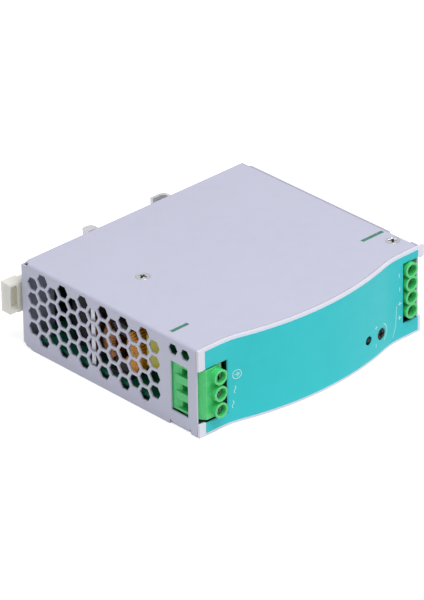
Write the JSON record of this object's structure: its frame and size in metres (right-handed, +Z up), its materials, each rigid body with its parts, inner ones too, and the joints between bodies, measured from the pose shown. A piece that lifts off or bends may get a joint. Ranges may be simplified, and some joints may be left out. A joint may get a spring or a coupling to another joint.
{
  "type": "din rail power supply",
  "caption": "Slim vented sheet-metal power supply with bowed front panel, screw terminals, lamp, adjuster and a sprung latch for a mounting rail.",
  "frame": {"origin": "middle of the whole outline in X and Y, on the outer face of the lower side plate", "axes": "the unit lies on its side: +X from the input end to the output end, -Y is the front panel, +Y the rail side, +Z up across the narrow width"},
  "size_m": [0.1318, 0.1216, 0.04],
  "materials": {
    "case_sheet": "satin grey powder coat",
    "panel_white": "fine satin moulding",
    "panel_film": "teal printed film",
    "zinc_steel": "bright zinc plating",
    "latch_nylon": "cream nylon",
    "board": "green solder mask",
    "insulator": "milky film",
    "terminal_green": "green moulded nylon",
    "tinned_brass": "tinned brass",
    "pot_blue": "blue moulding",
    "pot_rotor": "cream rotor",
    "lamp_green": "clear green lens",
    "black_moulding": "black moulded epoxy",
    "capacitor_sleeve": "dark shrink sleeve",
    "film_yellow": "yellow box",
    "ferrite": "grey ferrite",
    "copper_wire": "enamelled copper",
    "varistor_blue": "blue dip coat",
    "fuse_body": "ceramic tube",
    "sink_aluminium": "plain aluminium",
    "tape_yellow": "polyester tape",
    "choke_yellow": "coated powder core"
  },
  "bodies": {
    "case": {"upper_cover": "case_sheet", "lower_chassis": "case_sheet", "front_panel": "panel_white", "front_label": "panel_film", "cover_screws": "zinc_steel", "rail_bracket": "zinc_steel", "bracket_rivets": "zinc_steel", "latch_spring": "zinc_steel", "main_board": "board", "board_standoffs": "zinc_steel", "board_screws": "zinc_steel", "insulating_sheet": "insulator", "input_board": "board", "output_board": "board", "input_terminal_housing": "terminal_green", "input_contacts": "tinned_brass", "output_terminal_housing": "terminal_green", "output_contacts": "tinned_brass", "adjust_pot_body": "pot_blue", "status_led": "lamp_green", "led_spacer": "black_moulding", "x_capacitor": "film_yellow", "line_choke_core": "ferrite", "line_choke_windings": "copper_wire", "varistor": "varistor_blue", "fuse": "fuse_body", "primary_heatsink": "sink_aluminium", "bridge_rectifier": "black_moulding", "power_transistors": "black_moulding", "bulk_capacitors": "capacitor_sleeve", "transformer_core": "ferrite", "transformer_bobbin": "black_moulding", "transformer_winding": "tape_yellow", "control_board": "board", "secondary_heatsink": "sink_aluminium", "output_rectifiers": "black_moulding", "output_capacitors": "capacitor_sleeve", "output_choke": "choke_yellow"},
    "latch": {"rail_latch": "latch_nylon"},
    "adjuster": {"adjust_pot_rotor": "pot_rotor"},
    "input_screw_1": {"input_screw_1": "zinc_steel"},
    "input_screw_2": {"input_screw_2": "zinc_steel"},
    "input_screw_3": {"input_screw_3": "zinc_steel"},
    "input_cage_1": {"input_cage_1": "zinc_steel"},
    "input_cage_2": {"input_cage_2": "zinc_steel"},
    "input_cage_3": {"input_cage_3": "zinc_steel"},
    "output_screw_1": {"output_screw_1": "zinc_steel"},
    "output_screw_2": {"output_screw_2": "zinc_steel"},
    "output_screw_3": {"output_screw_3": "zinc_steel"},
    "output_screw_4": {"output_screw_4": "zinc_steel"},
    "output_cage_1": {"output_cage_1": "zinc_steel"},
    "output_cage_2": {"output_cage_2": "zinc_steel"},
    "output_cage_3": {"output_cage_3": "zinc_steel"},
    "output_cage_4": {"output_cage_4": "zinc_steel"}
  },
  "joints": [
    {"name": "latch_slide", "type": "slide", "parent": "case", "child": "latch", "axis": [-1, 0, 0], "range_m": [0, 0.005], "stiffness_N_per_m": 400, "springref_m": -0.005, "deforming": ["latch_spring"]},
    {"name": "adjuster_turn", "type": "hinge", "parent": "case", "child": "adjuster", "pos_m": [0.0385, -0.0473, 0.0095], "axis": [0, 1, 0], "range_deg": [-135, 135]},
    {"name": "input_screw_1_turn", "type": "hinge", "parent": "case", "child": "input_screw_1", "pos_m": [-0.052, -0.0517, 0.01063], "axis": [0, 1, 0], "range_deg": [0, 2160]},
    {"name": "input_cage_1_slide", "type": "slide", "parent": "case", "child": "input_cage_1", "axis": [0, -1, 0], "range_m": [0, 0.003]},
    {"name": "input_screw_2_turn", "type": "hinge", "parent": "case", "child": "input_screw_2", "pos_m": [-0.052, -0.0517, 0.01825], "axis": [0, 1, 0], "range_deg": [0, 2160]},
    {"name": "input_cage_2_slide", "type": "slide", "parent": "case", "child": "input_cage_2", "axis": [0, -1, 0], "range_m": [0, 0.003]},
    {"name": "input_screw_3_turn", "type": "hinge", "parent": "case", "child": "input_screw_3", "pos_m": [-0.052, -0.0517, 0.02587], "axis": [0, 1, 0], "range_deg": [0, 2160]},
    {"name": "input_cage_3_slide", "type": "slide", "parent": "case", "child": "input_cage_3", "axis": [0, -1, 0], "range_m": [0, 0.003]},
    {"name": "output_screw_1_turn", "type": "hinge", "parent": "case", "child": "output_screw_1", "pos_m": [0.0576, -0.0517, 0.01248], "axis": [0, 1, 0], "range_deg": [0, 2160]},
    {"name": "output_cage_1_slide", "type": "slide", "parent": "case", "child": "output_cage_1", "axis": [0, -1, 0], "range_m": [0, 0.003]},
    {"name": "output_screw_2_turn", "type": "hinge", "parent": "case", "child": "output_screw_2", "pos_m": [0.0576, -0.0517, 0.01882], "axis": [0, 1, 0], "range_deg": [0, 2160]},
    {"name": "output_cage_2_slide", "type": "slide", "parent": "case", "child": "output_cage_2", "axis": [0, -1, 0], "range_m": [0, 0.003]},
    {"name": "output_screw_3_turn", "type": "hinge", "parent": "case", "child": "output_screw_3", "pos_m": [0.0576, -0.0517, 0.02517], "axis": [0, 1, 0], "range_deg": [0, 2160]},
    {"name": "output_cage_3_slide", "type": "slide", "parent": "case", "child": "output_cage_3", "axis": [0, -1, 0], "range_m": [0, 0.003]},
    {"name": "output_screw_4_turn", "type": "hinge", "parent": "case", "child": "output_screw_4", "pos_m": [0.0576, -0.0517, 0.03152], "axis": [0, 1, 0], "range_deg": [0, 2160]},
    {"name": "output_cage_4_slide", "type": "slide", "parent": "case", "child": "output_cage_4", "axis": [0, -1, 0], "range_m": [0, 0.003]}
  ],
  "couplings": [
    {"joint": "input_screw_1_turn", "follows": "input_cage_1_slide", "rad_per_m": 12566},
    {"joint": "input_screw_2_turn", "follows": "input_cage_2_slide", "rad_per_m": 12566},
    {"joint": "input_screw_3_turn", "follows": "input_cage_3_slide", "rad_per_m": 12566},
    {"joint": "output_screw_1_turn", "follows": "output_cage_1_slide", "rad_per_m": 12566},
    {"joint": "output_screw_2_turn", "follows": "output_cage_2_slide", "rad_per_m": 12566},
    {"joint": "output_screw_3_turn", "follows": "output_cage_3_slide", "rad_per_m": 12566},
    {"joint": "output_screw_4_turn", "follows": "output_cage_4_slide", "rad_per_m": 12566}
  ]
}
